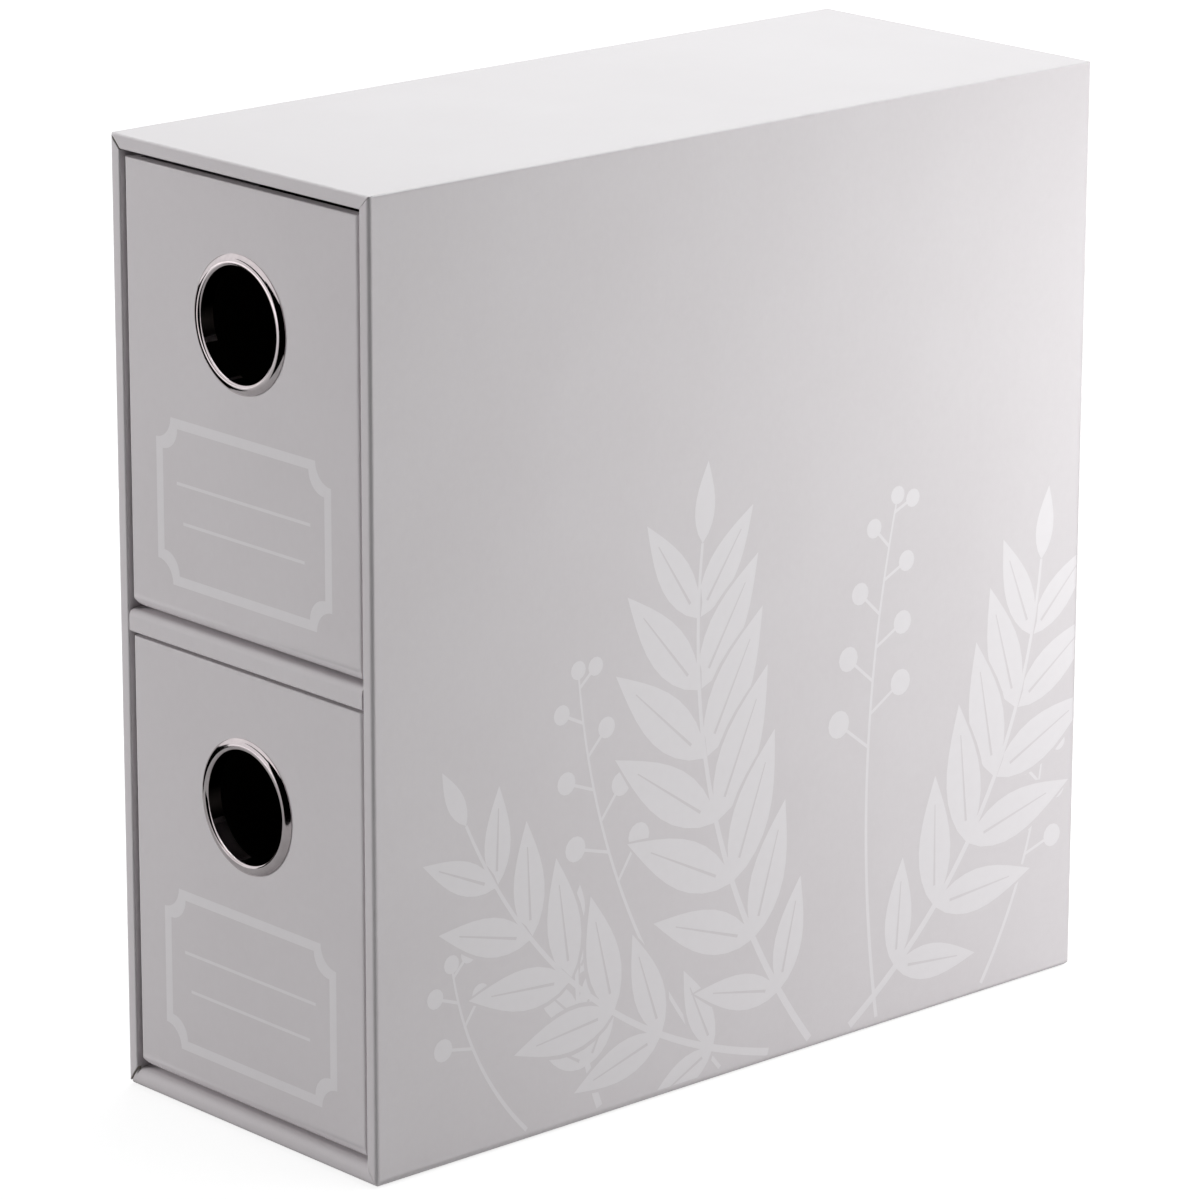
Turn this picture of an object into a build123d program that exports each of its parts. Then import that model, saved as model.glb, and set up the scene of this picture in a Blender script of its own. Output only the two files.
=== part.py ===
from build123d import *
import os

# A tall drawer box for playing and trading cards. An open-fronted case of wrapped board
# holds two equal drawers, one above the other, with a shelf between them. Each drawer is
# an open tray of wrapped board with a metal finger ring in its front.
#
# Millimetres. The origin is the middle of the case's underside, +Z is up, +X is to the
# right for someone facing the drawers, and -Y is the side that the drawers come out of.

# Sheet materials
paper = 0.25                # wrapping and lining paper
wall_board = 2.7            # sides, top and back of the case
base_board = 4.1            # floor of the case
shelf_board = 4.55          # shelf between the drawers
drawer_board = 1.9          # walls and floor of a drawer

# Clear space inside the case, between the linings
bay_width = 77.6
bay_depth = 205.8
upper_bay_height = 99.9
lower_bay_height = 99.25

# Fit of the drawers in their bays
side_gap = 0.8              # on each side of a drawer
back_gap = 0.4              # behind a drawer
upper_head_gap = 1.4        # over the upper drawer
lower_head_gap = 0.75       # over the lower drawer
slide_gap = 0.3             # under a drawer
drawer_recess = 0.5         # drawer fronts lie this far behind the case's front

# Rounding of the board under the paper
case_upright_radius = 0.75
case_top_radius = 0.35
case_bottom_radius = 1.75
case_mouth_radius = 0.25
base_nose_radius = 2.0
shelf_top_nose_radius = 1.3
shelf_underside_nose_radius = 0.55
drawer_upright_radius = 0.75
drawer_bottom_radius = 3.5
drawer_rim_radius = 0.1

# Turned edges and seams of the paper
case_turn_in = 14.0         # paper turned from the case's front edge into the bays
drawer_turn_in = 11.0       # paper turned over a drawer's rim
back_border = 12.0          # paper turned from the sides and top onto the back
sheet_seam = 0.2            # between the back sheet and that border
left_mitre_gap = 0.55       # slits where turned edges meet at the front corners
right_mitre_gap = 0.12
mitre_depth = 1.2           # of those slits, from the case's front into the boards
shelf_end_gap = 0.3         # between the shelf and the lining at each end

# Finger ring: an eyelet through the drawer front, closed over a washer inside
ring_drop = 29.4            # from the drawer's rim down to the middle of the ring
ring_bore_radius = 12.4
ring_metal = 0.5            # wall of the eyelet's tube
ring_hole_gap = 0.1         # between the tube and the hole in board and paper
ring_crest_run = 0.7        # from the bore out to the crest of the flange
ring_crest_height = 0.95    # crest over the drawer's face
ring_flange_width = 2.5     # from the bore out to the flange's edge
ring_flange_edge = 0.15     # thickness of the flange at its edge
ring_lip_width = 1.3        # from the bore out to the edge of the rolled lip inside
ring_lip = 0.4              # thickness of that lip
washer_width = 1.6          # of the washer's flat ring
washer_metal = 0.4

# Sizes that follow
wall = wall_board + 2 * paper
base = base_board + 2 * paper
shelf = shelf_board + 2 * paper
drawer_wall = drawer_board + 2 * paper

case_width = bay_width + 2 * wall
case_depth = bay_depth + wall
shelf_bottom = base + lower_bay_height
shelf_top = shelf_bottom + shelf
case_ceiling = shelf_top + upper_bay_height
case_height = case_ceiling + wall
case_front = -case_depth / 2
case_back = case_depth / 2

drawer_width = bay_width - 2 * side_gap
drawer_depth = bay_depth - drawer_recess - back_gap
drawer_front = case_front + drawer_recess
drawer_middle = drawer_front + drawer_depth / 2

ring_tube_radius = ring_bore_radius + ring_metal
ring_hole_radius = ring_tube_radius + ring_hole_gap

reach = case_width + case_depth + case_height   # long enough to cut through everything


def box_between(low, high):
    """A box given by its two opposite corners."""
    size = [high[i] - low[i] for i in range(3)]
    centre = [(high[i] + low[i]) / 2 for i in range(3)]
    return Pos(*centre) * Box(*size)


def corner_offcuts(width, height, low_radius, high_radius):
    """What rounding takes off the four corners of a centred rectangle."""
    offcuts = []
    for side in (-1, 1):
        for end, radius in ((-1, low_radius), (1, high_radius)):
            square = Pos(side * (width - radius) / 2, end * (height - radius) / 2)
            centre = Pos(side * (width / 2 - radius), end * (height / 2 - radius))
            offcuts.append(square * Rectangle(radius, radius) - centre * Circle(radius))
    return offcuts


def rounded_block(width, depth, height, upright_radius, bottom_radius, top_radius):
    """A block on the XY plane with all edges rounded: uprights, bottom edges and top edges."""
    outlines = (
        (Plane.XY, corner_offcuts(width, depth, upright_radius, upright_radius)),
        (Plane.XZ, corner_offcuts(width, height, bottom_radius, top_radius)),
        (Plane.YZ, corner_offcuts(depth, height, bottom_radius, top_radius)),
    )
    offcuts = [
        extrude(plane * offcut, reach, both=True) for plane, part in outlines for offcut in part
    ]
    return Pos(0, 0, height / 2) * (Box(width, depth, height) - offcuts)


def nosed_outline(low, high, low_radius, high_radius, front, back):
    """Section of a shelf with its two front edges rounded: depth to the right, height up."""
    low_nose = TangentArc((front + low_radius, low), (front, low + low_radius), tangent=(-1, 0))
    high_nose = TangentArc((front + high_radius, high), (front, high - high_radius), tangent=(-1, 0))
    face = Line(low_nose @ 1, high_nose @ 1)
    rest = Polyline(high_nose @ 0, (back, high), (back, low), low_nose @ 0)
    return make_face([low_nose, face, high_nose, rest])


def mouth_outline(low, high, low_radius, high_radius, front, back):
    """Section of a room that is open in front, where its walls' front edges are rounded off."""
    before = front - reach
    low_nose = TangentArc((front + low_radius, low), (front, low - low_radius), tangent=(-1, 0))
    high_nose = TangentArc((front + high_radius, high), (front, high + high_radius), tangent=(-1, 0))
    sides = [
        Polyline(low_nose @ 1, (before, low - low_radius), (before, high + high_radius), high_nose @ 1),
        Polyline(high_nose @ 0, (back, high), (back, low), low_nose @ 0),
    ]
    return make_face([low_nose, high_nose, *sides])


# The case ---------------------------------------------------------------------------------

def case_envelope(cover):
    """Outer shape of the case's boards, grown by the thickness of what covers them."""
    size = [case_width, case_depth, case_height]
    size = [length - 2 * paper + 2 * cover for length in size]
    block = rounded_block(
        *size, case_upright_radius + cover, case_bottom_radius + cover, case_top_radius + cover
    )
    return Pos(0, 0, paper - cover) * block


def case_room(cover):
    """The room between the case's boards, narrowed by the thickness of what covers them.

    It is where an upright bar, open at both ends, meets a lying one that ends at the back.
    """
    half_width = bay_width / 2 + paper - cover
    floor = base - paper + cover
    ceiling = case_ceiling + paper - cover
    front = case_front + paper - cover
    back = case_back - wall + paper - cover
    mouth = case_mouth_radius + cover
    plan = mouth_outline(-half_width, half_width, mouth, mouth, front, case_back)
    side = mouth_outline(floor, ceiling, base_nose_radius + cover, mouth, front, back)
    plan_plane = Plane(origin=(0, 0, 0), x_dir=(0, 1, 0), z_dir=(0, 0, -1))
    upright_bar = extrude(plan_plane * plan, reach, both=True)
    lying_bar = extrude(Plane.YZ * side, reach, both=True)
    return upright_bar & lying_bar


def case_boards():
    """The five boards of the case, butted: sides outermost, then top and base, then back."""
    shell = case_envelope(0) - case_room(0) - mitre_slits()
    inner_x = bay_width / 2 + paper
    floor = base - paper
    ceiling = case_ceiling + paper
    front_of_back = case_back - wall + paper
    return {
        "case_left_board": shell & box_between((-reach, -reach, 0), (-inner_x, reach, reach)),
        "case_right_board": shell & box_between((inner_x, -reach, 0), (reach, reach, reach)),
        "case_top_board": shell & box_between((-inner_x, -reach, ceiling), (inner_x, reach, reach)),
        "case_base_board": shell & box_between((-inner_x, -reach, 0), (inner_x, reach, floor)),
        "case_back_board": shell
        & box_between((-inner_x, front_of_back, floor), (inner_x, reach, ceiling)),
    }


def case_lining_region():
    """Where the bays are lined: behind the turned-in paper, on sides, floor, ceiling and back."""
    return box_between(
        (-bay_width / 2 - paper, case_front + case_turn_in, base - paper),
        (bay_width / 2 + paper, case_back - wall + paper, case_ceiling + paper),
    )


def base_wrap_region():
    """Where the floor has its own paper: a bar with mitred sides, from corner to corner."""
    section = Polygon(
        (-case_width / 2, 0), (case_width / 2, 0), (bay_width / 2, base), (-bay_width / 2, base),
        align=None,
    )
    return extrude(Plane.XZ * section, reach, both=True)


def back_sheet_region(margin):
    """Where the back has its own sheet, grown by a margin on each side."""
    half_width = case_width / 2 - back_border + margin
    return box_between(
        (-half_width, case_back - paper, base),
        (half_width, case_back + paper, case_height - back_border + margin),
    )


def mitre_slit(side, outer_z, inner_z, gap):
    """A slit into the front of the case, from beyond an outer corner to beyond an inner one."""
    outer = Vector(side * case_width / 2, outer_z)
    inner = Vector(side * bay_width / 2, inner_z)
    along = inner - outer
    middle = (inner + outer) / 2
    angle = Vector(1, 0).get_signed_angle(along, Vector(0, 0, 1))
    slit = Pos(middle.X, middle.Y) * Rot(0, 0, angle) * Rectangle(along.length + 2 * gap, gap)
    return Pos(0, case_front, 0) * extrude(Plane.XZ * slit, mitre_depth, both=True)


def mitre_slits():
    """The four slits where the turned-in edges meet at the front corners."""
    return [
        mitre_slit(side, outer_z, inner_z, gap)
        for side, gap in ((-1, left_mitre_gap), (1, right_mitre_gap))
        for outer_z, inner_z in ((0, base), (case_height, case_ceiling))
    ]


def case_papers():
    """The papers of the case: outer wrap, base wrap, back sheet and lining."""
    finished = case_envelope(paper) - case_room(paper)
    boards = case_envelope(0) - case_room(0)
    papers = finished - boards
    lining = papers & case_lining_region()
    outer = papers - case_lining_region() - mitre_slits()
    sides_and_back = outer - base_wrap_region()
    return {
        "case_wrap": sides_and_back - back_sheet_region(sheet_seam),
        "case_base_wrap": outer & base_wrap_region(),
        "case_back_sheet": sides_and_back & back_sheet_region(0),
        "case_lining": lining,
    }


def shelf_block(cover):
    """The shelf between the bays, bare with a cover of 0, or grown by the paper on it."""
    half_width = bay_width / 2 - shelf_end_gap - paper + cover
    section = nosed_outline(
        shelf_bottom + paper - cover, shelf_top - paper + cover,
        shelf_underside_nose_radius + cover, shelf_top_nose_radius + cover,
        case_front + paper - cover, case_back - wall,
    )
    return extrude(Plane.YZ * section, half_width, both=True)


def shelf_parts():
    """The shelf's board and the paper that goes over its top, nose, ends and underside."""
    board = shelf_block(0)
    return {"shelf_board": board, "shelf_wrap": shelf_block(paper) - board}


# A drawer ---------------------------------------------------------------------------------

def drawer_envelope(floor_z, rim_z, cover):
    """Outer shape of a drawer's boards, grown by the thickness of what covers them."""
    size = [drawer_width, drawer_depth, rim_z - floor_z]
    size = [length - 2 * paper + 2 * cover for length in size]
    block = rounded_block(
        *size, drawer_upright_radius + cover, drawer_bottom_radius + cover,
        drawer_rim_radius + cover,
    )
    return Pos(0, drawer_middle, floor_z + paper - cover) * block


def drawer_room(floor_z, thickness):
    """The room inside a drawer whose walls and floor have the given thickness."""
    half_width = drawer_width / 2 - thickness
    return box_between(
        (-half_width, drawer_front + thickness, floor_z + thickness),
        (half_width, drawer_front + drawer_depth - thickness, floor_z + reach),
    )


def ring_hole(ring_z):
    """The hole through a drawer's front for the tube of the ring."""
    hole = extrude(Plane.XZ * Circle(ring_hole_radius), 2 * drawer_wall, both=True)
    return Pos(0, drawer_front, ring_z) * hole


def drawer_boards(floor_z, rim_z):
    """The five boards of a drawer: the floor, front and back on it, and sides between them."""
    bare = paper + drawer_board
    shell = drawer_envelope(floor_z, rim_z, 0) - drawer_room(floor_z, bare)
    over_floor = box_between((-reach, -reach, floor_z + bare), (reach, reach, floor_z + reach))
    walls = shell & over_floor
    front_y = drawer_front + bare
    back_y = drawer_front + drawer_depth - bare
    in_front = box_between((-reach, -reach, 0), (reach, front_y, reach))
    behind = box_between((-reach, back_y, 0), (reach, reach, reach))
    left = box_between((-reach, front_y, 0), (0, back_y, reach))
    right = box_between((0, front_y, 0), (reach, back_y, reach))
    return {
        "base_board": shell - over_floor,
        "front_board": (walls & in_front) - ring_hole(rim_z - ring_drop),
        "back_board": walls & behind,
        "left_board": walls & left,
        "right_board": walls & right,
    }


def drawer_papers(floor_z, rim_z):
    """The papers of a drawer: the wrap, turned over the rim, and the lining below that."""
    room = drawer_room(floor_z, paper + drawer_board)
    boards = drawer_envelope(floor_z, rim_z, 0) - room
    finished = drawer_envelope(floor_z, rim_z, paper) - drawer_room(floor_z, drawer_wall)
    papers = finished - boards - ring_hole(rim_z - ring_drop)
    lined = room & box_between((-reach, -reach, 0), (reach, reach, rim_z - drawer_turn_in))
    return {"wrap": papers - lined, "lining": papers & lined}


def ring_outline():
    """Half section of the finger ring: radius to the right, depth behind the drawer's face up."""
    lip_seat = drawer_wall + washer_metal
    crest_radius = ring_bore_radius + ring_crest_run
    flange_radius = ring_bore_radius + ring_flange_width
    lip_radius = ring_bore_radius + ring_lip_width
    seat = Polyline(
        (ring_tube_radius, 0), (flange_radius, 0), (flange_radius, -ring_flange_edge)
    )
    crest = (crest_radius, -ring_crest_height)
    dome = TangentArc(crest, seat @ 1, tangent=(1, 0))
    roll = TangentArc(crest, (ring_bore_radius, ring_crest_run - ring_crest_height), tangent=(-1, 0))
    lip_start = (ring_bore_radius, lip_seat)
    tube = Line(roll @ 1, lip_start)
    lip_roll = TangentArc(lip_start, (ring_bore_radius + ring_lip, lip_seat + ring_lip), tangent=(0, 1))
    lip = Polyline(
        lip_roll @ 1, (lip_radius, lip_seat + ring_lip), (lip_radius, lip_seat),
        (ring_tube_radius, lip_seat), (ring_tube_radius, 0),
    )
    return make_face([seat, dome, roll, tube, lip_roll, lip])


def finger_ring(ring_z):
    """The ring: flange over the drawer's face, tube through its front, lip over the washer."""
    return Pos(0, drawer_front, ring_z) * revolve(ring_outline(), Axis.Y)


def ring_washer(ring_z):
    """The flat washer between the drawer's lining and the ring's lip."""
    washer = Circle(ring_hole_radius + washer_width) - Circle(ring_hole_radius)
    behind_lining = drawer_front + drawer_wall
    return Pos(0, behind_lining, ring_z) * extrude(Plane.XZ * washer, -washer_metal)


def drawer_parts(name, bay_floor, rim_z):
    """All pieces of the drawer that stands over the given bay floor, up to the given rim."""
    floor_z = bay_floor + slide_gap
    pieces = drawer_boards(floor_z, rim_z)
    pieces.update(drawer_papers(floor_z, rim_z))
    pieces["finger_ring"] = finger_ring(rim_z - ring_drop)
    pieces["ring_washer"] = ring_washer(rim_z - ring_drop)
    return {f"{name}_{piece}": shape for piece, shape in pieces.items()}


# The whole box ----------------------------------------------------------------------------

parts = case_boards()
parts.update(case_papers())
parts.update(shelf_parts())
parts.update(drawer_parts("upper_drawer", shelf_top, case_ceiling - upper_head_gap))
parts.update(drawer_parts("lower_drawer", base, shelf_bottom - lower_head_gap))

os.makedirs("parts", exist_ok=True)
for name, shape in parts.items():
    export_step(shape, f"parts/{name}.step")
    bounds = shape.bounding_box()
    low = [round(value, 2) for value in bounds.min]
    high = [round(value, 2) for value in bounds.max]
    print(f"{name}: {len(shape.solids())} solid, {shape.volume / 1000:.2f} cm3, {low} to {high}")
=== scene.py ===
import math

import bmesh
import bpy
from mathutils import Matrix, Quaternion, Vector, noise
from mathutils.geometry import delaunay_2d_cdt


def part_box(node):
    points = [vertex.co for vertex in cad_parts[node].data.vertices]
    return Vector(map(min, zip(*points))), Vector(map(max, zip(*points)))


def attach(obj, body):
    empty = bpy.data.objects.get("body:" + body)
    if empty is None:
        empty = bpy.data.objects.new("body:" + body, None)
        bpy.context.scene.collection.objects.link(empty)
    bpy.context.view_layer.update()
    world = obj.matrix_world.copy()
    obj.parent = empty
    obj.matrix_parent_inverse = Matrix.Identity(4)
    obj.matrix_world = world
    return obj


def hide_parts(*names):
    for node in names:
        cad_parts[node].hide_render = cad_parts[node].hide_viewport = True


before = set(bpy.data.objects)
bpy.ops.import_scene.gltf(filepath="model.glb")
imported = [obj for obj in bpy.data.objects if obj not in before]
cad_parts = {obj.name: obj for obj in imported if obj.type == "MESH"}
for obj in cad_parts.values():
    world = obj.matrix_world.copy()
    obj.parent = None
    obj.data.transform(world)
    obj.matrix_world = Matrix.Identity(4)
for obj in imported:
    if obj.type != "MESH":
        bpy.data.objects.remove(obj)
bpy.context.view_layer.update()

# A tall drawer box of paper-wrapped board: a case with two drawers, each with a metal finger
# ring. Metres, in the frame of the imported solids: +Z up, drawers towards -Y, +X to the right.
# Papers that carry a print are copied from their solids and get the print cut into their
# faces. The rings are turned afresh. Every other solid keeps its mesh and gets a finish.

MM = 0.001

# Camera, solved from the corners of the case in the photograph
VIEW_AZIMUTH = math.radians(47.81)
VIEW_ELEVATION = math.radians(16.26)
VIEW_ROLL = math.radians(0.14)
VIEW_ANGLE = math.radians(11.244)
VIEW_DISTANCE = 1.3402
VIEW_TARGET = Vector((-0.0006, -0.0034, 0.0995))

# Finger ring, as in the solids
RING_BORE = 12.4 * MM
RING_METAL = 0.5 * MM
RING_CREST_RUN = 0.7 * MM
RING_CREST_HEIGHT = 0.95 * MM
RING_FLANGE = 2.5 * MM
RING_FLANGE_EDGE = 0.15 * MM
RING_LIP_WIDTH = 1.3 * MM
RING_LIP = 0.4 * MM
RING_SEAT = 2.8 * MM        # from the drawer's face back to the washer's inner face
TUBE_DIVIDE = 0.6           # where the tube's wall is divided, as a share of the seat's depth
RING_SEGMENTS = 160         # round the ring
DOME_STEPS = 14             # along the curves of its section
ROLL_STEPS = 12
LIP_STEPS = 6

# Label frame printed under each ring: its place on the drawer's face, from the middle line
# and from the rim, and its lines
LABEL_WIDTH = 57.5 * MM
LABEL_HEIGHT = 36.5 * MM
LABEL_DROP = 53.5 * MM
LABEL_LINE = 2.2 * MM
LABEL_SCOOP = 5.0 * MM
WRITING_LINE = 0.7 * MM
WRITING_LINES = ((14.0 * MM, 44 * MM), (22.5 * MM, 40 * MM))   # drop in the frame, length

# Printed faces: how far the paper waves in from flat, and the spacing of its points
PAPER_WAVE = 0.05 * MM
PAPER_WAVE_SIZE = 45 * MM
PAPER_GRID = 6 * MM
FLAT = 1e-6                 # tolerance for lying in a plane
SQUARE_ON = 0.99            # least share of a normal that points straight out of a flat face
SHARP_ANGLE = math.radians(35)   # edges that turn by more than this stay sharp
PLAY = 0.2 * MM             # less than what a drawer stands clear of the one below
PAINTED_SHADE_WIDTH = 1.1 * MM        # how far from an edge painted shade darkens the paper

# Studio, in metres round the origin
LAMP_AIM = Vector((0.0, 0.0, 0.1))
TOP_LIGHT = (0.965, 1.0, 0.99)
FLOOR_REACH = 3.0           # half of the floor's side
FLOOR_DROP = 0.02 * MM      # the floor lies this far under the object
FLOOR_GREY = 0.4            # share of the light that it sends back
FLOOR_GLOW = 0.8            # of the floor near the object as seen, where white is 1
MIRRORED_FLOOR_GLOW = 0.1   # the same as the metal mirrors it
GLOW_NEAR = 0.3             # the glow rises to white between these distances
GLOW_FAR = 1.2

# Black cards round the object: one in front that leans away, a strip beside its top and one
# on the left
CARD_LEFT = -0.1
CARD_RIGHT = 0.8
CARD_NEAR = -0.31
CARD_FAR = -0.594
CARD_TOP = 0.452
FRONT_CARD = [
    (CARD_LEFT, CARD_NEAR, 0.0), (CARD_RIGHT, CARD_NEAR, 0.0),
    (CARD_RIGHT, CARD_FAR, CARD_TOP), (CARD_LEFT, CARD_FAR, CARD_TOP),
]
STRIP = [(CARD_LEFT, -0.54, 0.37), (-0.6, -0.575, 0.44), (-0.6, -0.56, 0.4), (CARD_LEFT, -0.45, 0.23)]
LEFT_CARD = [(-0.24, -0.3, 0.0), (-0.24, 0.3, 0.0), (-0.7, 0.3, 0.11), (-0.7, -0.5, 0.11)]


# Meshes -----------------------------------------------------------------------------------

def new_object(name, bm, material):
    """A smooth-shaded object of the given mesh and material, its corners kept sharp."""
    bm.normal_update()
    for face in bm.faces:
        face.smooth = True
    for edge in bm.edges:
        edge.smooth = edge.is_manifold and edge.calc_face_angle(0) < SHARP_ANGLE
    mesh = bpy.data.meshes.new(name)
    bm.to_mesh(mesh)
    bm.free()
    mesh.materials.append(material)
    made = bpy.data.objects.new(name, mesh)
    bpy.context.scene.collection.objects.link(made)
    weighted = made.modifiers.new("even_normals", "WEIGHTED_NORMAL")
    weighted.keep_sharp = True
    weighted.weight = 100
    return made


def welded_copy(node):
    """The mesh of a CAD node with the corners that its faces share joined up."""
    bm = bmesh.new()
    bm.from_mesh(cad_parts[node].data)
    bmesh.ops.remove_doubles(bm, verts=bm.verts, dist=FLAT)
    return bm


def boundary_loops(faces):
    """The outlines of a patch of faces, each as a list of corners in order."""
    inside = set(faces)
    following = {}
    for face in faces:
        for loop in face.loops:
            neighbours = [other for other in loop.edge.link_faces if other is not face]
            if not any(other in inside for other in neighbours):
                following[loop.vert] = loop.link_loop_next.vert
    loops = []
    while following:
        start = next(iter(following))
        walk = [start]
        corner = following.pop(start)
        while corner is not start:
            walk.append(corner)
            corner = following.pop(corner)
        loops.append(walk)
    return loops


def outline_area(points):
    """Signed area of a flat outline."""
    pairs = zip(points, points[1:] + points[:1])
    return sum(a[0] * b[1] - b[0] * a[1] for a, b in pairs) / 2


def print_face(bm, axis, level, shapes):
    """Rebuilds one flat face of a mesh as a fine net with printed shapes cut into it.

    The face lies where the axis has the given level. Shapes are (outline, ink) pairs in the
    face's other two axes, in order, and a later one covers an earlier one.
    """
    across, up = [other for other in range(3) if other != axis]
    sign = 1 if level > 0 else -1
    patch = [
        face for face in bm.faces
        if face.normal[axis] * sign > SQUARE_ON
        and all(abs(vert.co[axis] - level) < FLAT for vert in face.verts)
    ]
    loops = boundary_loops(patch)
    flat = [[(vert.co[across], vert.co[up]) for vert in loop] for loop in loops]
    order = sorted(range(len(loops)), key=lambda i: -abs(outline_area(flat[i])))
    corners = [vert for i in order for vert in loops[i]]
    holes = len(loops) - 1
    points, outlines = [], []
    for outline in [flat[i] for i in order] + [outline for outline, _ in shapes]:
        numbers = list(range(len(points), len(points) + len(outline)))
        outlines.append(numbers if outline_area(outline) > 0 else numbers[::-1])
        points += [Vector(point) for point in outline]
    points += grid_points(flat[order[0]])
    verts, _, tris, vert_sources, _, tri_sources = delaunay_2d_cdt(
        points, [], outlines, 0, FLAT, True
    )
    bmesh.ops.delete(bm, geom=patch, context="FACES_KEEP_BOUNDARY")
    ink_layer = bm.loops.layers.float.get("ink") or bm.loops.layers.float.new("ink")
    made = {}
    for tri, sources in zip(tris, tri_sources):
        if 0 not in sources or any(1 <= source <= holes for source in sources):
            continue
        for i in tri:
            if i not in made:
                kept = [corners[source] for source in vert_sources[i] if source < len(corners)]
                new_place = on_face(verts[i], axis, across, up, level)
                made[i] = kept[0] if kept else bm.verts.new(new_place)
        printed = [source - holes - 1 for source in sources if source > holes]
        ink = shapes[max(printed)][1] if printed else 0.0
        face = bm.faces.new([made[i] for i in tri])
        face.normal_update()
        if face.normal[axis] * sign < 0:
            face.normal_flip()
        for loop in face.loops:
            loop[ink_layer] = ink


def grid_points(outline):
    """Points of a plain grid inside the box of an outline."""
    low = [min(point[i] for point in outline) + PAPER_GRID for i in (0, 1)]
    high = [max(point[i] for point in outline) - PAPER_GRID for i in (0, 1)]
    counts = [round((high[i] - low[i]) / PAPER_GRID) for i in (0, 1)]
    return [
        Vector([low[i] + (high[i] - low[i]) * step[i] / counts[i] for i in (0, 1)])
        for step in ((a, b) for a in range(counts[0] + 1) for b in range(counts[1] + 1))
    ]


def on_face(place, axis, across, up, level):
    """A point of a printed face, let in a little where the paper waves."""
    point = Vector((0, 0, 0))
    point[axis] = level
    point[across] = place[0]
    point[up] = place[1]
    wave = (1 + noise.noise(point / PAPER_WAVE_SIZE)) / 2
    point[axis] -= math.copysign(PAPER_WAVE * wave, level)
    return point


def turned(name, profile, centre, segments, material):
    """A solid turned round the line through the centre along Y, from (radius, depth) points."""
    bm = bmesh.new()
    rings = []
    for step in range(segments):
        angle = 2 * math.pi * step / segments
        rings.append([
            bm.verts.new(centre + Vector((r * math.sin(angle), depth, r * math.cos(angle))))
            for r, depth in profile
        ])
    for this, following in zip(rings, rings[1:] + rings[:1]):
        for i in range(len(profile)):
            j = (i + 1) % len(profile)
            bm.faces.new((this[i], this[j], following[j], following[i]))
    bmesh.ops.recalc_face_normals(bm, faces=bm.faces)
    return new_object(name, bm, material)


def arc(centre, start, sweep, radius, steps):
    """Points of an arc in the plane, from the start angle on, without its first point."""
    angles = [start + sweep * step / steps for step in range(1, steps + 1)]
    return [(centre[0] + radius * math.cos(a), centre[1] + radius * math.sin(a)) for a in angles]


# Prints -----------------------------------------------------------------------------------

def stroke(points, width, tip=1.0):
    """The outline of a line drawn through points, its width tapering to a share at the end."""
    left, right = [], []
    last = len(points) - 1
    for i, point in enumerate(points):
        before, after = points[max(i - 1, 0)], points[min(i + 1, last)]
        along = Vector((after[0] - before[0], after[1] - before[1])).normalized()
        half = width / 2 * (1 + (tip - 1) * i / last)
        left.append((point[0] - along.y * half, point[1] + along.x * half))
        right.append((point[0] + along.y * half, point[1] - along.x * half))
    return left + right[::-1]


def pointing(angle):
    """The direction of an angle in the plane."""
    return Vector((math.cos(angle), math.sin(angle)))


def heading_at(spine, here):
    """The angle at which a line of points runs on through one of them."""
    along = Vector(spine[here + 1]) - Vector(spine[here - 1])
    return math.atan2(along.y, along.x)


def leaf(foot, angle, length, width):
    """The outline of a pointed leaf that grows from its foot at an angle."""
    steps = 9
    foot_fullness = 0.8         # under 1 puts the widest place nearer to the foot
    along = pointing(angle)
    beside = Vector((-along.y, along.x))
    shares = [(i / steps) ** foot_fullness for i in range(steps + 1)]
    halves = [width / 2 * math.sin(math.pi * share) for share in shares]
    middle = [Vector(foot) + along * (length * i / steps) for i in range(steps + 1)]
    upper = [tuple(m + beside * h) for m, h in zip(middle, halves)]
    lower = [tuple(m - beside * h) for m, h in zip(middle, halves)]
    return upper + lower[-2:0:-1]


def bowed(foot, tip, bow, steps):
    """Points of a curve from foot to tip that bows to the left by a share of its length."""
    foot, tip = Vector(foot), Vector(tip)
    across = Vector((foot.y - tip.y, tip.x - foot.x))
    middle = (foot + tip) / 2 + across * bow * 2
    ts = [step / steps for step in range(steps + 1)]
    return [tuple(foot * (1 - t) ** 2 + middle * 2 * t * (1 - t) + tip * t * t) for t in ts]


def disc(centre, radius):
    """The outline of a small round dot."""
    steps = 14
    angles = [2 * math.pi * i / steps for i in range(steps)]
    return [(centre[0] + radius * math.cos(a), centre[1] + radius * math.sin(a)) for a in angles]


def haloed_leaf(foot, angle, length, width):
    """A leaf inside a thin bare rim, which parts it from what it overlaps."""
    back = pointing(angle) * HALO
    rim = leaf(Vector(foot) - back, angle, length + 2 * HALO, width + 2 * HALO)
    return [(rim, 0.0), (leaf(foot, angle, length, width), 1.0)]


# How the print on the sides is laid out, in shares of the side's depth and height: stems with
# their foot, tip, bow, number of leaf pairs, leaf length and leaf width in millimetres
SPRAYS = (
    ((0.30, 0.00), (0.27, 0.20), 0.06, 3, 19, 7.0),
    ((0.54, 0.00), (0.12, 0.34), 0.12, 6, 29, 9.5),
    ((0.66, 0.00), (0.94, 0.46), -0.12, 6, 34, 11.0),
    ((0.60, 0.00), (0.44, 0.57), 0.10, 7, 36, 11.5),
)
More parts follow.
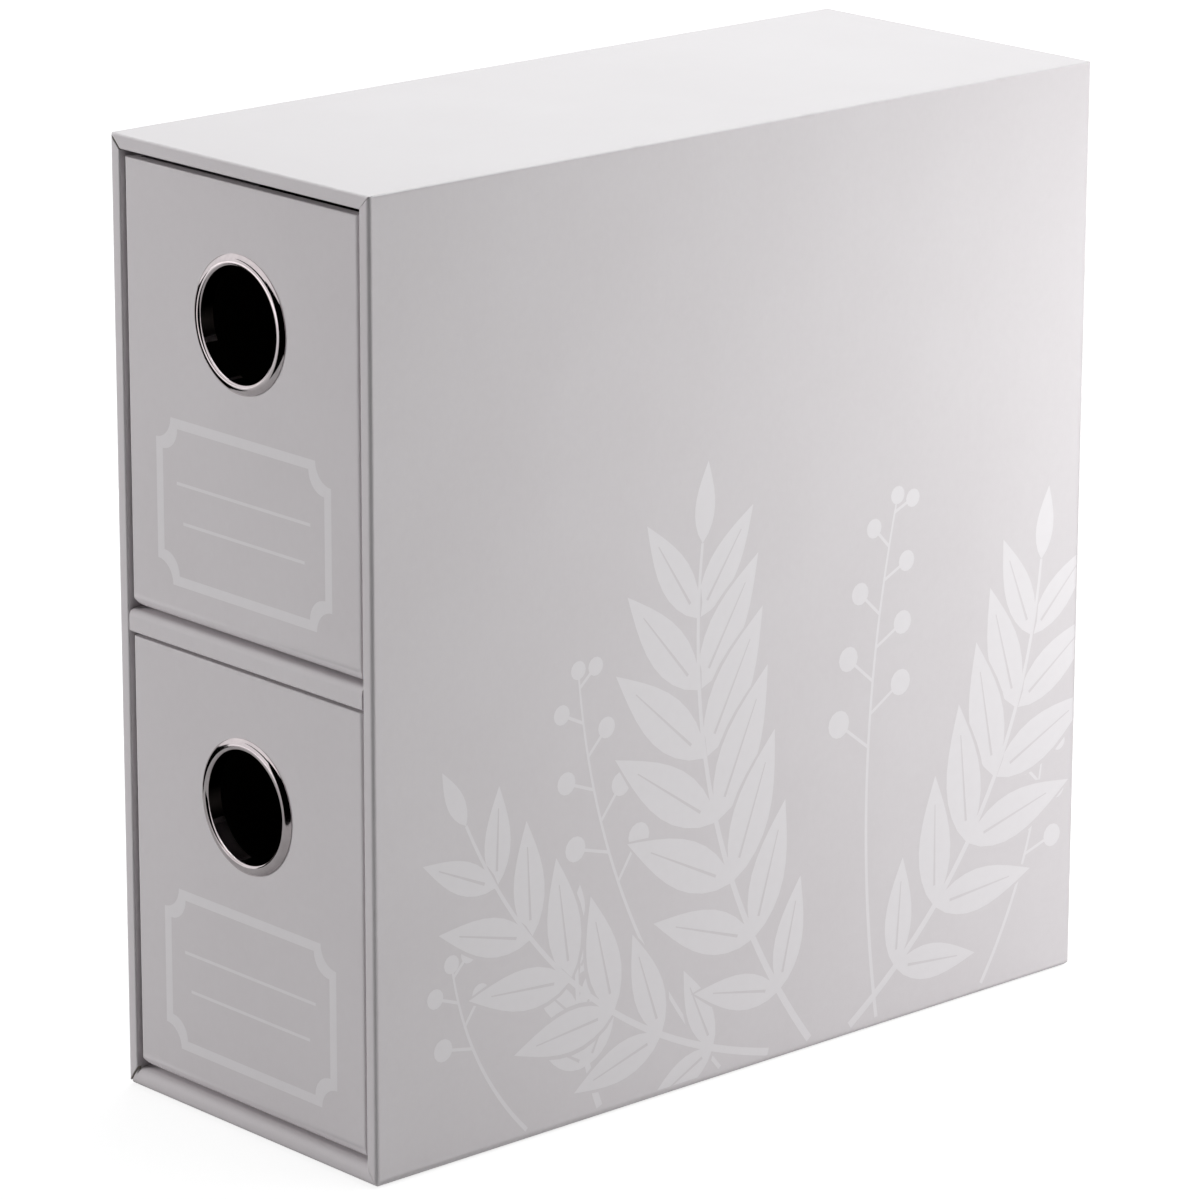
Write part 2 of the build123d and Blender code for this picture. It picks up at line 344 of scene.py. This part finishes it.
# Berry stalks: foot, tip, bow and number of berries
STALKS = (
    ((0.47, 0.00), (0.27, 0.47), 0.08, 7),
    ((0.70, 0.00), (0.72, 0.57), 0.05, 8),
    ((0.86, 0.00), (0.95, 0.25), -0.06, 5),
    ((0.20, 0.00), (0.10, 0.20), 0.08, 4),
)
SPRAY_STEM = 1.8 * MM
STALK_STEM = 1.0 * MM
VEIN = 0.7 * MM
HALO = 1.0 * MM             # bare rim round a leaf
TAPER = 0.4                 # width of a spray's stem or vein at its tip, as a share
STALK_TAPER = 0.5
BERRY_STEM = 0.7            # width of a berry's stem, as a share of the stalk's
SPINE_STEPS = 4             # steps of a stem for each of its pairs of leaves or its berries
LEAF_SPREAD = 48            # degrees between a leaf and the stem
LEAF_CLOSING = 14           # degrees less at the stem's tip
SMALLEST_LEAF = 0.45        # share of the full size
SWELL_RUN = 0.85            # how much of a half wave the leaves' sizes follow along the stem
SWELL_FULLNESS = 0.7        # under 1 keeps more of them large
TIP_LEAF = 0.5              # the same for the leaf at the stem's end
VEIN_START = 0.16           # shares of the leaf's length
VEIN_LENGTH = 0.62
BERRY = 2.6 * MM
BERRY_SPREAD = 55           # degrees between a berry's stem and the stalk
BERRY_REACH = 6 * MM        # length of that stem for the highest berry
BERRY_REACH_STEP = 0.8 * MM   # and how much longer each next one is
TOP_BERRY = 0.8             # size of the highest berry, as a share
BERRY_GROWTH = 0.06         # and how much larger each next one is
ART_FOOT = 2.0 * MM         # the stems start this far over the bottom edge


def spray(foot, tip, bow, pairs, leaf_length, leaf_width):
    """A stem with pairs of leaves that shrink towards its tip, each with a bare vein."""
    spine = bowed(foot, tip, bow, SPINE_STEPS * (pairs + 1))
    full_length, full_width = leaf_length * MM, leaf_width * MM
    tip_heading = heading_at(spine, len(spine) - 2)
    shapes = haloed_leaf(spine[-1], tip_heading, full_length * TIP_LEAF, full_width * TIP_LEAF)
    for pair in range(pairs, 0, -1):
        here = SPINE_STEPS * pair
        heading = heading_at(spine, here)
        swell = math.sin(math.pi * (1 - SWELL_RUN * pair / pairs)) ** SWELL_FULLNESS
        size = SMALLEST_LEAF + (1 - SMALLEST_LEAF) * swell
        for side in (-1, 1):
            angle = heading + side * math.radians(LEAF_SPREAD - LEAF_CLOSING * pair / pairs)
            length = full_length * size
            shapes += haloed_leaf(spine[here], angle, length, full_width * size)
            start = Vector(spine[here]) + pointing(angle) * length * VEIN_START
            end = start + pointing(angle) * length * VEIN_LENGTH
            shapes.append((stroke([tuple(start), tuple(end)], VEIN, TAPER), 0.0))
    shapes.append((stroke(spine, SPRAY_STEM, TAPER), 1.0))
    return shapes


def stalk(foot, tip, bow, berries):
    """A thin stalk with round berries on short stems on both sides of its upper part."""
    spine = bowed(foot, tip, bow, SPINE_STEPS * berries)
    shapes = [(stroke(spine, STALK_STEM, STALK_TAPER), 1.0)]
    for berry in range(berries):
        here = len(spine) - 2 - 2 * berry
        side = 1 if berry % 2 else -1
        angle = heading_at(spine, here) + side * math.radians(BERRY_SPREAD)
        reach = BERRY_REACH + BERRY_REACH_STEP * berry
        end = Vector(spine[here]) + pointing(angle) * reach
        shapes.append((stroke([spine[here], tuple(end)], STALK_STEM * BERRY_STEM), 1.0))
        shapes.append((disc(tuple(end), BERRY * (TOP_BERRY + BERRY_GROWTH * berry)), 1.0))
    shapes.append((disc(spine[-1], BERRY * TOP_BERRY), 1.0))
    return shapes


def side_art():
    """The leaf sprays printed on the case's sides, in (y, z)."""
    low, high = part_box("case_wrap")
    depth, height = high.y - low.y, high.z - low.z

    def place(share):
        return (low.y + share[0] * depth, low.z + ART_FOOT + share[1] * height)

    shapes = []
    for foot, tip, bow, berries in STALKS:
        shapes += stalk(place(foot), place(tip), bow, berries)
    for foot, tip, bow, pairs, length, width in SPRAYS:
        shapes += spray(place(foot), place(tip), bow, pairs, length, width)
    return shapes


def scooped_frame(centre, width, height, scoop):
    """The outline of a rectangle whose corners are scooped out."""
    steps = 8
    quarters = (((1, 1), 270), ((-1, 1), 0), ((-1, -1), 90), ((1, -1), 180))
    outline = []
    for (side_x, side_y), degrees in quarters:
        corner = (centre[0] + side_x * width / 2, centre[1] + side_y * height / 2)
        start = math.radians(degrees)
        outline.append((corner[0] + scoop * math.cos(start), corner[1] + scoop * math.sin(start)))
        outline += arc(corner, start, -math.pi / 2, scoop, steps)
    return outline


def label(rim):
    """The frame with writing lines printed on a drawer's face, in (x, z), below its rim."""
    centre = (0.0, rim - LABEL_DROP - LABEL_HEIGHT / 2)
    inner_width = LABEL_WIDTH - 2 * LABEL_LINE
    inner_height = LABEL_HEIGHT - 2 * LABEL_LINE
    shapes = [
        (scooped_frame(centre, LABEL_WIDTH, LABEL_HEIGHT, LABEL_SCOOP), 1.0),
        (scooped_frame(centre, inner_width, inner_height, LABEL_SCOOP), 0.0),
    ]
    for drop, length in WRITING_LINES:
        z = rim - LABEL_DROP - drop
        shapes.append((stroke([(-length / 2, z), (length / 2, z)], WRITING_LINE), 1.0))
    return shapes


# Materials --------------------------------------------------------------------------------

def feed(tree, shader, inputs):
    """Sets inputs of a node, each to a plain value or to what a socket gives."""
    for name, value in inputs.items():
        if isinstance(value, bpy.types.NodeSocket):
            tree.links.new(value, shader.inputs[name])
        else:
            shader.inputs[name].default_value = value


def node(tree, kind, inputs=None, **settings):
    """A shader node of a kind, with its settings and inputs."""
    made = tree.nodes.new("ShaderNode" + kind)
    for name, value in settings.items():
        setattr(made, name, value)
    feed(tree, made, inputs or {})
    return made


def emptied(owner):
    """The node tree of a material or world, with nothing in it."""
    owner.use_nodes = True
    owner.node_tree.nodes.clear()
    return owner.node_tree


def blank(name):
    """The record's material of that name, or a new one, emptied but for shader and output."""
    material = bpy.data.materials.get(name) or bpy.data.materials.new(name)
    tree = emptied(material)
    shader = node(tree, "BsdfPrincipled")
    node(tree, "OutputMaterial", {"Surface": shader.outputs["BSDF"]})
    return material, tree, shader


def object_point(tree):
    """The point on the object, which stays with it when it moves."""
    return node(tree, "TexCoord").outputs["Object"]


def speckle(tree, point, size, detail=2.0, stretch=(1, 1, 1)):
    """Noise from 0 to 1 with grains of about the given size."""
    placed = node(tree, "Mapping", {"Vector": point, "Scale": stretch})
    noisy = node(tree, "TexNoise", {
        "Vector": placed.outputs["Vector"], "Scale": 1 / size, "Detail": detail,
        "Roughness": 0.6,
    })
    return noisy.outputs["Fac"]


def ranged(tree, value, low, high, to_low, to_high):
    """A value taken from one range to another, held at its ends."""
    made = node(tree, "MapRange", {
        "Value": value, "From Min": low, "From Max": high, "To Min": to_low, "To Max": to_high,
    })
    return made.outputs["Result"]


def calc(tree, operation, a, b):
    """One step of arithmetic."""
    return node(tree, "Math", {0: a, 1: b}, operation=operation).outputs["Value"]


def mixture(tree, *parts):
    """The sum of values times their shares, from (value, share) pairs."""
    terms = [calc(tree, "MULTIPLY", value, share) for value, share in parts]
    total = terms[0]
    for term in terms[1:]:
        total = calc(tree, "ADD", total, term)
    return total


def relief(tree, height, strength, depth):
    """The normal of a surface on which a height stands out a little."""
    bump = node(tree, "Bump", {"Height": height, "Strength": strength, "Distance": depth})
    return bump.outputs["Normal"]


def colour_mix(tree, share, a, b):
    """A colour between two, each a socket or a plain colour."""
    made = tree.nodes.new("ShaderNodeMix")
    made.data_type = "RGBA"
    sockets = [socket for socket in made.inputs if socket.type == "RGBA"]
    factor = made.inputs[0]
    for socket, value in ((factor, share), (sockets[0], a), (sockets[1], b)):
        if isinstance(value, bpy.types.NodeSocket):
            tree.links.new(value, socket)
        else:
            socket.default_value = value
    return [socket for socket in made.outputs if socket.type == "RGBA"][0]


def linear(red, green, blue):
    """A colour written as on screen, as the light that it stands for."""
    return tuple(((value / 255 + 0.055) / 1.055) ** 2.4 for value in (red, green, blue)) + (1.0,)


def stacked(tree, point, floor, rise):
    """The point brought down to the lowest of equal boxes that stand one rise above another."""
    parts = node(tree, "SeparateXYZ", {"Vector": point}).outputs
    z = node(tree, "Math", {0: parts["Z"], 1: floor + rise, 2: floor}, operation="WRAP")
    joined = node(tree, "CombineXYZ", {"X": parts["X"], "Y": parts["Y"], "Z": z.outputs["Value"]})
    return joined.outputs["Vector"]


def edge_nearness(tree, point, low, high, width):
    """1 along the edges of a box and 0 beyond a width from them."""
    centre = (low + high) / 2
    half = (high - low) / 2
    moved = node(tree, "VectorMath", {0: point, 1: centre}, operation="SUBTRACT")
    folded = node(tree, "VectorMath", {0: moved.outputs["Vector"]}, operation="ABSOLUTE")
    short = node(tree, "VectorMath", {0: half, 1: folded.outputs["Vector"]}, operation="SUBTRACT")
    parts = node(tree, "SeparateXYZ", {"Vector": short.outputs["Vector"]}).outputs
    low_pair = calc(tree, "MINIMUM", parts["X"], parts["Y"])
    high_pair = calc(tree, "MAXIMUM", parts["X"], parts["Y"])
    second = calc(tree, "MAXIMUM", low_pair, calc(tree, "MINIMUM", high_pair, parts["Z"]))
    return ranged(tree, second, 0.0, width, 1.0, 0.0)


PAPER = linear(226, 221, 223.5)
PAPER_SHADE = linear(222, 216.5, 219)
INK = linear(238, 234, 236.5)
# Painted shade: a darker paper colour laid in patches along the box's edges, in place of the shade on
# their roundings
PAINTED_EDGE_SHADE = linear(206, 200, 201)
CASE_LINING_DARK = linear(40, 39, 39)
CASE_LINING_PALE = linear(62, 60, 60)
DRAWER_LINING_DARK = linear(46, 44, 42)
DRAWER_LINING_PALE = linear(66, 63, 60)
BOARD_DARK = linear(146, 140, 132)
BOARD_PALE = linear(186, 180, 171)
METAL_BRIGHT = linear(212, 203, 205)
METAL_DULL = linear(200, 191, 193)


def wrapping_paper(name, low, high, rise=0.0):
    """Pale satin paper with a fine fibre, a tone-on-tone print and painted shade in patches along its
    edges.

    The edges are those of the box from low to high, and of one like it a rise higher.
    """
    material, tree, shader = blank(name)
    point = object_point(tree)
    in_box = stacked(tree, point, low.z - PLAY, rise) if rise else point
    mottle = speckle(tree, point, 2.2 * MM, detail=5.0)
    cloud = speckle(tree, point, 40 * MM)
    fibre = speckle(tree, point, 0.35 * MM, detail=3.0, stretch=(1.0, 1.0, 0.22))
    grain = speckle(tree, point, 0.12 * MM)
    tone = mixture(tree, (mottle, 0.35), (cloud, 0.45), (fibre, 0.2))
    ground = colour_mix(tree, ranged(tree, tone, 0.35, 0.65, 0.0, 1.0), PAPER_SHADE, PAPER)
    ink = node(tree, "Attribute", attribute_name="ink").outputs["Fac"]
    cover = calc(tree, "MULTIPLY", ink, ranged(tree, mottle, 0.3, 0.6, 0.9, 1.0))
    printed = colour_mix(tree, cover, ground, INK)
    # Painted shade: the paper turns darker and rougher in patches within a set width of the box's
    # edges
    edge = edge_nearness(tree, in_box, low, high, PAINTED_SHADE_WIDTH)
    shade_patches = speckle(tree, point, 7 * MM, detail=6.0)
    painted_edge_shade = calc(tree, "MULTIPLY", edge, ranged(tree, shade_patches, 0.5, 0.7, 0.0, 0.5))
    bare_gloss = ranged(tree, mottle, 0.3, 0.7, 0.46, 0.54)
    printed_gloss = calc(tree, "SUBTRACT", bare_gloss, calc(tree, "MULTIPLY", cover, 0.08))
    height = mixture(tree, (fibre, 0.7), (grain, 0.3))
    feed(tree, shader, {
        "Base Color": colour_mix(tree, painted_edge_shade, printed, PAINTED_EDGE_SHADE),
        "Roughness": calc(tree, "ADD", printed_gloss, calc(tree, "MULTIPLY", painted_edge_shade, 0.25)),
        "Normal": relief(tree, height, 0.12, 0.03 * MM),
        "Specular IOR Level": 0.4,
    })
    return material


def lining_paper(name, dark, pale):
    """Dark matt uncoated paper with pale fibres."""
    _, tree, shader = blank(name)
    point = object_point(tree)
    fibre = speckle(tree, point, 0.4 * MM, detail=4.0, stretch=(1.0, 0.3, 1.0))
    mottle = speckle(tree, point, 5 * MM, detail=4.0)
    tone = mixture(tree, (fibre, 0.6), (mottle, 0.4))
    feed(tree, shader, {
        "Base Color": colour_mix(tree, ranged(tree, tone, 0.35, 0.7, 0.0, 1.0), dark, pale),
        "Roughness": ranged(tree, tone, 0.3, 0.7, 0.75, 0.95),
        "Normal": relief(tree, fibre, 0.4, 0.05 * MM),
        "Specular IOR Level": 0.3,
    })


def pressed_board(name):
    """Grey board pressed from waste paper, with light and dark flecks."""
    _, tree, shader = blank(name)
    point = object_point(tree)
    fleck = speckle(tree, point, 0.8 * MM, detail=6.0)
    cloud = speckle(tree, point, 12 * MM, detail=3.0)
    tone = ranged(tree, mixture(tree, (fleck, 0.7), (cloud, 0.3)), 0.3, 0.7, 0.0, 1.0)
    feed(tree, shader, {
        "Base Color": colour_mix(tree, tone, BOARD_DARK, BOARD_PALE),
        "Roughness": ranged(tree, fleck, 0.3, 0.7, 0.8, 0.95),
        "Normal": relief(tree, fleck, 0.5, 0.1 * MM),
    })


def plated_metal(name):
    """Bright nickel plate with faint handling marks and hairlines."""
    material, tree, shader = blank(name)
    point = object_point(tree)
    smudge = speckle(tree, point, 4 * MM, detail=3.0)
    hairline = speckle(tree, point, 0.5 * MM, detail=5.0, stretch=(1.0, 1.0, 0.15))
    smudged = ranged(tree, smudge, 0.4, 0.7, 0.0, 1.0)
    smudge_haze = ranged(tree, smudge, 0.4, 0.7, 0.06, 0.1)
    hairline_haze = ranged(tree, hairline, 0.5, 0.75, 0.0, 0.03)
    feed(tree, shader, {
        "Base Color": colour_mix(tree, smudged, METAL_BRIGHT, METAL_DULL),
        "Roughness": calc(tree, "ADD", smudge_haze, hairline_haze),
        "Normal": relief(tree, hairline, 0.05, 0.02 * MM),
        "Metallic": 1.0,
    })
    return material


# Pieces -----------------------------------------------------------------------------------

def printed_case_wrap(material):
    """The case's outer paper, with the print on both sides."""
    bm = welded_copy("case_wrap")
    low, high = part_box("case_wrap")
    bm.normal_update()
    art = side_art()
    for level in (low.x, high.x):
        print_face(bm, 0, level, art)
    made = new_object("case_outer_paper", bm, material)
    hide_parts("case_wrap")
    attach(made, "case")


def printed_drawer_wrap(drawer, material):
    """A drawer's paper, with the label frame printed on its face."""
    bm = welded_copy(drawer + "_wrap")
    low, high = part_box(drawer + "_wrap")
    bm.normal_update()
    print_face(bm, 1, low.y, label(high.z))
    made = new_object(drawer + "_paper", bm, material)
    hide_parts(drawer + "_wrap")
    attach(made, drawer)


def ring_profile():
    """Half section of the ring, as (radius, depth behind the drawer's face)."""
    tube = RING_BORE + RING_METAL
    crest = (RING_BORE + RING_CREST_RUN, -RING_CREST_HEIGHT)
    edge = (RING_BORE + RING_FLANGE, -RING_FLANGE_EDGE)
    run = edge[0] - crest[0]
    fall = edge[1] - crest[1]
    dome_radius = (run ** 2 + fall ** 2) / (2 * fall)
    dome_sweep = math.asin(run / dome_radius)
    dome_centre = (crest[0], crest[1] + dome_radius)
    roll_centre = (crest[0], crest[1] + RING_CREST_RUN)
    lip = RING_BORE + RING_LIP_WIDTH
    profile = [(tube, 0.0), (edge[0], 0.0)]
    profile += [
        (dome_centre[0] + dome_radius * math.sin(a), dome_centre[1] - dome_radius * math.cos(a))
        for a in (dome_sweep * (1 - step / DOME_STEPS) for step in range(DOME_STEPS + 1))
    ]
    profile += arc(roll_centre, -math.pi / 2, -math.pi / 2, RING_CREST_RUN, ROLL_STEPS)
    profile += [(RING_BORE, TUBE_DIVIDE * RING_SEAT), (RING_BORE, RING_SEAT)]
    profile += arc((RING_BORE + RING_LIP, RING_SEAT), math.pi, -math.pi / 2, RING_LIP, LIP_STEPS)
    profile += [(lip, RING_SEAT + RING_LIP), (lip, RING_SEAT), (tube, RING_SEAT)]
    return profile


def turned_ring(drawer, material):
    """A drawer's finger ring, turned finely enough for clean reflections."""
    node_name = drawer + "_finger_ring"
    low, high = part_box(node_name)
    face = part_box(drawer + "_wrap")[0].y
    centre = Vector(((low.x + high.x) / 2, face, (low.z + high.z) / 2))
    made = turned(drawer + "_eyelet", ring_profile(), centre, RING_SEGMENTS, material)
    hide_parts(node_name)
    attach(made, drawer)


# The studio -------------------------------------------------------------------------------

def softbox(name, place, size, watts, colour=(1, 1, 1), mirrored=True):
    """A square soft lamp, turned to the object, and whether metal mirrors it."""
    lamp = bpy.data.lights.new(name, "AREA")
    lamp.shape = "SQUARE"
    lamp.size = size
    lamp.energy = watts
    lamp.color = colour
    made = bpy.data.objects.new(name, lamp)
    made.location = place
    made.rotation_mode = "QUATERNION"
    made.rotation_quaternion = (LAMP_AIM - Vector(place)).to_track_quat("-Z", "Y")
    made.visible_glossy = mirrored
    bpy.context.scene.collection.objects.link(made)


def shown_rays(tree):
    """1 for rays to the camera and for those that metal or glass sends on."""
    path = node(tree, "LightPath").outputs
    seen = calc(tree, "MAXIMUM", path["Is Camera Ray"], path["Is Glossy Ray"])
    return calc(tree, "MAXIMUM", seen, path["Is Transmission Ray"])


def studio_world():
    """White all round as seen, with no light of its own on the object."""
    world = bpy.data.worlds.new("studio")
    tree = emptied(world)
    light = node(tree, "Background", {"Color": (1, 1, 1, 1), "Strength": shown_rays(tree)})
    node(tree, "OutputWorld", {"Surface": light.outputs["Background"]})
    bpy.context.scene.world = world


def stage_piece(name, corners, material):
    """A piece of the studio: four-cornered faces, from their corners one after another."""
    mesh = bpy.data.meshes.new(name)
    mesh.from_pydata(corners, [], [tuple(range(i, i + 4)) for i in range(0, len(corners), 4)])
    mesh.materials.append(material)
    made = bpy.data.objects.new(name, mesh)
    bpy.context.scene.collection.objects.link(made)
    return made


def floor_material():
    """Pale and matt, with a glow that shows the floor white but for the object's shadow."""
    material = bpy.data.materials.new("floor")
    tree = emptied(material)
    place = node(tree, "NewGeometry").outputs["Position"]
    distance = node(tree, "VectorMath", {0: place}, operation="LENGTH").outputs["Value"]
    glossy = node(tree, "LightPath").outputs["Is Glossy Ray"]
    near_glow = ranged(tree, glossy, 0.0, 1.0, FLOOR_GLOW, MIRRORED_FLOOR_GLOW)
    strength = ranged(tree, distance, GLOW_NEAR, GLOW_FAR, near_glow, 1.0)
    matt = node(tree, "BsdfDiffuse", {"Color": (FLOOR_GREY, FLOOR_GREY, FLOOR_GREY, 1)})
    glow = node(tree, "Emission", {"Color": (1, 1, 1, 1), "Strength": strength})
    both = node(tree, "AddShader", {0: matt.outputs["BSDF"], 1: glow.outputs["Emission"]})
    shown = node(tree, "MixShader", {
        "Fac": shown_rays(tree), 1: matt.outputs["BSDF"], 2: both.outputs["Shader"],
    })
    node(tree, "OutputMaterial", {"Surface": shown.outputs["Shader"]})
    return material


def studio_floor():
    """A plain pale floor just under the object."""
    corners = [
        (x * FLOOR_REACH, y * FLOOR_REACH, -FLOOR_DROP)
        for x, y in ((-1, -1), (1, -1), (1, 1), (-1, 1))
    ]
    stage_piece("floor", corners, floor_material())


def black_card(name, corners):
    """A black card that only metal shows, as a dark band."""
    material = bpy.data.materials.new(name)
    tree = emptied(material)
    matt = node(tree, "BsdfDiffuse", {"Color": (0, 0, 0, 1)})
    node(tree, "OutputMaterial", {"Surface": matt.outputs["BSDF"]})
    card = stage_piece(name, corners, material)
    card.visible_camera = False
    card.visible_diffuse = False
    card.visible_shadow = False


def camera():
    """The camera of the photograph."""
    flat = math.cos(VIEW_ELEVATION)
    back = Vector((
        math.sin(VIEW_AZIMUTH) * flat, -math.cos(VIEW_AZIMUTH) * flat, math.sin(VIEW_ELEVATION),
    ))
    made = bpy.data.objects.new("camera", bpy.data.cameras.new("camera"))
    made.data.angle = VIEW_ANGLE
    made.location = VIEW_TARGET + back * VIEW_DISTANCE
    made.rotation_mode = "QUATERNION"
    roll = Quaternion((0, 0, 1), VIEW_ROLL)
    made.rotation_quaternion = (-back).to_track_quat("-Z", "Y") @ roll
    bpy.context.scene.collection.objects.link(made)
    bpy.context.scene.camera = made


# Everything together ----------------------------------------------------------------------

case_paper = wrapping_paper("case_paper", *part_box("case_wrap"))
lower_low, lower_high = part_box("lower_drawer_wrap")
drawer_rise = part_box("upper_drawer_wrap")[0].z - lower_low.z
drawer_paper = wrapping_paper("drawer_paper", lower_low, lower_high, drawer_rise)
lining_paper("case_lining_paper", CASE_LINING_DARK, CASE_LINING_PALE)
lining_paper("drawer_lining_paper", DRAWER_LINING_DARK, DRAWER_LINING_PALE)
pressed_board("grey_board")
metal = plated_metal("ring_metal")

printed_case_wrap(case_paper)
for drawer_name in ("upper_drawer", "lower_drawer"):
    printed_drawer_wrap(drawer_name, drawer_paper)
    turned_ring(drawer_name, metal)

softbox("top_softbox", place=(0.0, 0.3, 1.15), size=1.1, watts=14.0, colour=TOP_LIGHT)
softbox("back_softbox", place=(0.28, 0.5, 0.03), size=0.2, watts=2.3)
softbox("right_softbox", place=(0.55, 0.2, 0.02), size=0.3, watts=1.75, mirrored=False)
softbox("left_softbox", place=(-1.3, -1.5, 0.3), size=1.0, watts=31.0, mirrored=False)
studio_world()
studio_floor()
black_card("front_card", FRONT_CARD)
black_card("left_cards", STRIP + LEFT_CARD)
camera()

bpy.context.scene.view_settings.view_transform = "Standard"
